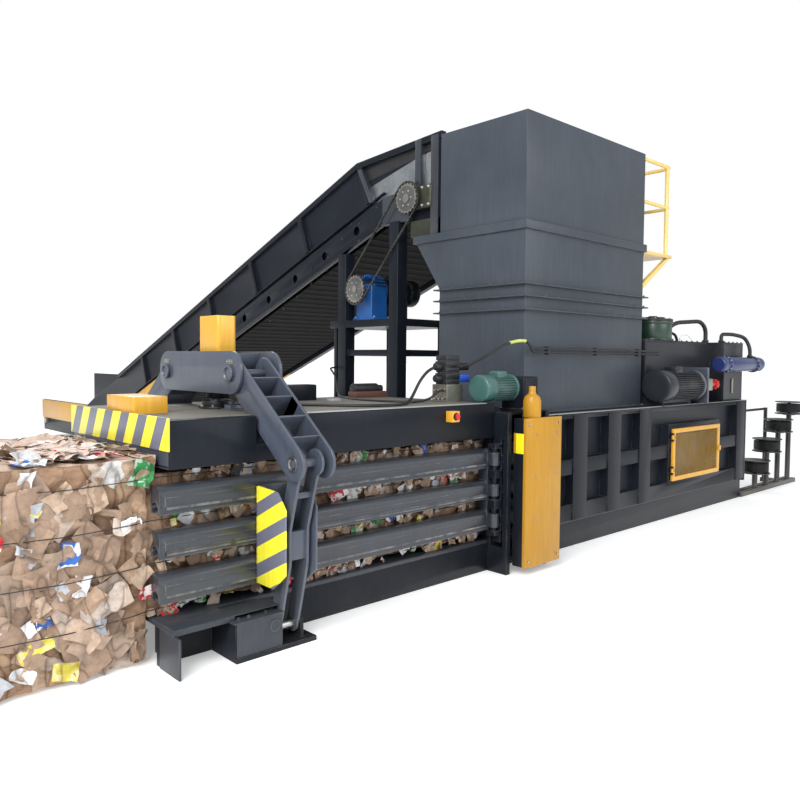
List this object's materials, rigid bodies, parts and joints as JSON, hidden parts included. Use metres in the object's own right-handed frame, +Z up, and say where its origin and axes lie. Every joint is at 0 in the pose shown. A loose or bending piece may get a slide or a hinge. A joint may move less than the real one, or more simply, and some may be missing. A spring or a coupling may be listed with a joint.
{
  "type": "recycling baler",
  "caption": "Horizontal channel baler for waste paper and board, with a feed hopper, a slat conveyor, an exit clamp with swinging gates, tying gear and wire reels.",
  "frame": {"origin": "on the floor under the middle of the feed hopper, on the centreline of the press", "axes": "+X along the press from the bale exit to the rear, +Y from the operator side towards the conveyor tail, +Z up"},
  "size_m": [9.409, 12.195, 3.5],
  "materials": {
    "frame_paint": "gloss enamel",
    "clamp_paint": "gloss enamel",
    "hopper_paint": "satin enamel",
    "yellow_paint": "gloss enamel",
    "motor_paint": "gloss enamel",
    "blue_paint": "gloss enamel",
    "steel": "machined",
    "plate_steel": "worn",
    "chrome": "polished",
    "rubber": "matt",
    "red_plastic": "gloss",
    "paper": "pressed mixed paper and board"
  },
  "bodies": {
    "press": {"base_frame": "frame_paint", "bolts": "steel", "chamber_roof": "frame_paint", "clamp_rod": "chrome", "conveyor_frame": "frame_paint", "conveyor_motor": "frame_paint", "conveyor_stand": "frame_paint", "deck_cable": "rubber", "deck_hose": "rubber", "drive_chain": "steel", "estop_box": "yellow_paint", "far_wall": "frame_paint", "front_cover": "yellow_paint", "gear_reducer": "blue_paint", "hazard_plate": "yellow_paint", "hopper_body": "hopper_paint", "hopper_hood": "hopper_paint", "near_wall": "frame_paint", "needle_track": "frame_paint", "oil_cooler": "blue_paint", "oil_pipes": "steel", "oil_tank": "frame_paint", "press_floor": "plate_steel", "pump_set": "frame_paint", "ram_cylinder": "frame_paint", "rear_plate": "frame_paint", "reel_stand": "frame_paint", "service_platform": "yellow_paint", "slat_belt": "plate_steel", "tail_frame": "yellow_paint", "tie_frame": "frame_paint", "tie_guard": "yellow_paint", "tie_housing": "frame_paint", "top_beam": "frame_paint", "twister_motor": "motor_paint", "valve_block": "steel", "waste_bale": "paper"},
    "ram_slider": {"ram": "plate_steel", "piston_rod": "chrome"},
    "needles": {"needle_carriage": "clamp_paint"},
    "twister": {"twister_shaft": "steel"},
    "clamp_head": {"crosshead": "clamp_paint", "clamp_cylinder": "clamp_paint", "cylinder_cover": "yellow_paint"},
    "arm_far": {"arm_far": "clamp_paint"},
    "arm_near": {"arm_near": "clamp_paint"},
    "lever_far": {"lever_far": "clamp_paint"},
    "lever_near": {"lever_near": "clamp_paint"},
    "gate_far": {"gate_far": "frame_paint"},
    "gate_near": {"gate_near": "frame_paint"},
    "drive_wheel": {"motor_sprocket": "steel"},
    "head_drum": {"head_shaft": "steel"},
    "tail_drum": {"tail_shaft": "steel"},
    "reel_1": {"reel_1": "frame_paint"},
    "reel_2": {"reel_2": "frame_paint"},
    "reel_3": {"reel_3": "frame_paint"},
    "reel_4": {"reel_4": "frame_paint"},
    "stop_button": {"estop_button": "red_plastic"},
    "door": {"access_door": "yellow_paint"},
    "knob": {"valve_knob": "red_plastic"}
  },
  "joints": [
    {"name": "ram_slide", "type": "slide", "parent": "press", "child": "ram_slider", "axis": [-1, 0, 0], "range_m": [0, 1.88]},
    {"name": "needle_slide", "type": "slide", "parent": "press", "child": "needles", "axis": [0, -1, 0], "range_m": [0, 1.18]},
    {"name": "twister_turn", "type": "hinge", "parent": "press", "child": "twister", "pos_m": [-1.12, -0.645, 0.6], "axis": [0, 0, 1], "continuous": true},
    {"name": "crosshead_lift", "type": "slide", "parent": "press", "child": "clamp_head", "axis": [0, 0, 1], "range_m": [-0.045, 0]},
    {"name": "arm_far_swing", "type": "hinge", "parent": "clamp_head", "child": "arm_far", "pos_m": [-3.305, 0.385, 1.432], "axis": [1, 0, 0], "range_deg": [0, 4]},
    {"name": "lever_far_swing", "type": "hinge", "parent": "press", "child": "lever_far", "pos_m": [-3.305, 0.755, 0.092], "axis": [-1, 0, 0], "range_deg": [0, 2]},
    {"name": "gate_far_swing", "type": "hinge", "parent": "press", "child": "gate_far", "pos_m": [-1.52, 0.69, 0.6], "axis": [0, 0, -1], "range_deg": [0, 0.6]},
    {"name": "arm_near_swing", "type": "hinge", "parent": "clamp_head", "child": "arm_near", "pos_m": [-3.305, -0.385, 1.432], "axis": [-1, 0, 0], "range_deg": [0, 4]},
    {"name": "lever_near_swing", "type": "hinge", "parent": "press", "child": "lever_near", "pos_m": [-3.305, -0.755, 0.092], "axis": [1, 0, 0], "range_deg": [0, 2]},
    {"name": "gate_near_swing", "type": "hinge", "parent": "press", "child": "gate_near", "pos_m": [-1.52, -0.69, 0.6], "axis": [0, 0, 1], "range_deg": [0, 0.6]},
    {"name": "drive_turn", "type": "hinge", "parent": "press", "child": "drive_wheel", "pos_m": [-0.938, 1.563, 2.199], "axis": [1, 0, 0], "continuous": true},
    {"name": "head_turn", "type": "hinge", "parent": "press", "child": "head_drum", "pos_m": [0, 0.846, 2.964], "axis": [1, 0, 0], "continuous": true},
    {"name": "tail_turn", "type": "hinge", "parent": "press", "child": "tail_drum", "pos_m": [0, 10.9, 0.3], "axis": [1, 0, 0], "continuous": true},
    {"name": "reel_1_turn", "type": "hinge", "parent": "press", "child": "reel_1", "pos_m": [3.445, -0.55, 0.3], "axis": [0, 0, 1], "continuous": true},
    {"name": "reel_2_turn", "type": "hinge", "parent": "press", "child": "reel_2", "pos_m": [3.788, -0.55, 0.3], "axis": [0, 0, 1], "continuous": true},
    {"name": "reel_3_turn", "type": "hinge", "parent": "press", "child": "reel_3", "pos_m": [4.131, -0.55, 0.3], "axis": [0, 0, 1], "continuous": true},
    {"name": "reel_4_turn", "type": "hinge", "parent": "press", "child": "reel_4", "pos_m": [4.474, -0.55, 0.3], "axis": [0, 0, 1], "continuous": true},
    {"name": "stop_press", "type": "slide", "parent": "press", "child": "stop_button", "axis": [0, 1, 0], "range_m": [0, 0.006], "stiffness_N_per_m": 800},
    {"name": "door_swing", "type": "hinge", "parent": "press", "child": "door", "pos_m": [1.14, -0.68, 0.6], "axis": [0, 0, -1], "range_deg": [0, 100]},
    {"name": "knob_turn", "type": "hinge", "parent": "press", "child": "knob", "pos_m": [2.12, -0.605, 1.286], "axis": [1, 0, 0], "range_deg": [-360, 360]}
  ],
  "couplings": [
    {"joint": "arm_far_swing", "follows": "crosshead_lift", "rad_per_m": -1.465},
    {"joint": "lever_far_swing", "follows": "crosshead_lift", "rad_per_m": -0.714},
    {"joint": "gate_far_swing", "follows": "crosshead_lift", "rad_per_m": -0.18},
    {"joint": "arm_near_swing", "follows": "crosshead_lift", "rad_per_m": -1.465},
    {"joint": "lever_near_swing", "follows": "crosshead_lift", "rad_per_m": -0.714},
    {"joint": "gate_near_swing", "follows": "crosshead_lift", "rad_per_m": -0.18},
    {"joint": "head_turn", "follows": "drive_turn", "ratio": 1},
    {"joint": "tail_turn", "follows": "drive_turn", "ratio": 1}
  ]
}
